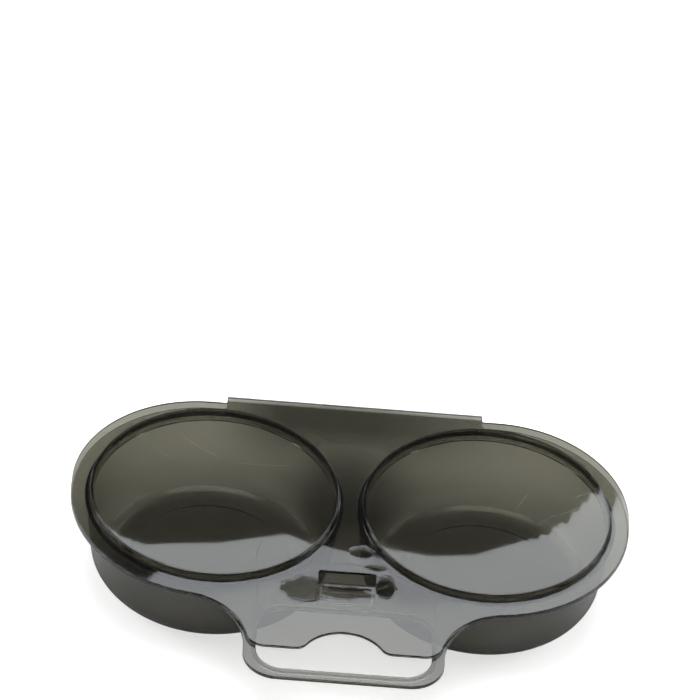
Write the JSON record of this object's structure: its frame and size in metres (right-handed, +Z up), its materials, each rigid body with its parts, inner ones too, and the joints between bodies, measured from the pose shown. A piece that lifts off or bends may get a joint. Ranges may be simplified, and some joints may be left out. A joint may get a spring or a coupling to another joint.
{
  "type": "microwave egg cooker",
  "caption": "Clamshell microwave egg cooker in smoky clear plastic: round cups under a hinged lid with raised discs, a snap latch and a loop handle.",
  "frame": {"origin": "middle of the footprint's bounding box, on the surface that the cups stand on", "axes": "+X along the line through the cup centres, +Y from the handle towards the hinge, +Z up"},
  "size_m": [0.2056, 0.1484, 0.0372],
  "materials": {
    "base_plastic": "smoky translucent gloss",
    "lid_plastic": "smoky translucent gloss",
    "hinge_plastic": "smoky translucent satin"
  },
  "bodies": {
    "base": {"base_tray": "base_plastic", "hinge_web": "hinge_plastic"},
    "lid": {"lid": "lid_plastic"}
  },
  "joints": [
    {"name": "lid_hinge", "type": "hinge", "parent": "base", "child": "lid", "pos_m": [0, 0.07425, 0.0331], "axis": [-1, 0, 0], "range_deg": [0, 180], "deforming": ["hinge_web"]}
  ]
}
